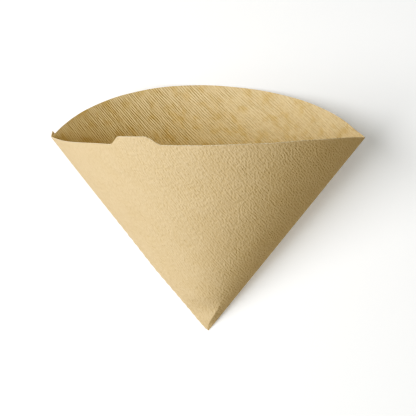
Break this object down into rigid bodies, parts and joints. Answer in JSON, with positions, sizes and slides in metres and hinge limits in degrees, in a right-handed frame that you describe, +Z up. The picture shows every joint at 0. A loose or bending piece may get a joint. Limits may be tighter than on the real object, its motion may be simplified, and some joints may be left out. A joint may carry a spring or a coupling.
{
  "type": "paper coffee filter",
  "caption": "Cone-shaped paper coffee filter with a crimped side seam and a lifting tab on its rim, opened and lying on its back wall.",
  "frame": {"origin": "the tip of the cone, where every straight line of the paper starts; the table is at z = 0", "axes": "+Z up; +Y from the tip to the mouth along the flat of the back wall that lies on the table; +X to the folded crease, with the crimped seam on the -X side"},
  "size_m": [0.1489, 0.1243, 0.0985],
  "materials": {
    "filter_paper": "matte unbleached crepe paper"
  },
  "bodies": {
    "root": {"filter_paper": "filter_paper"}
  },
  "joints": []
}
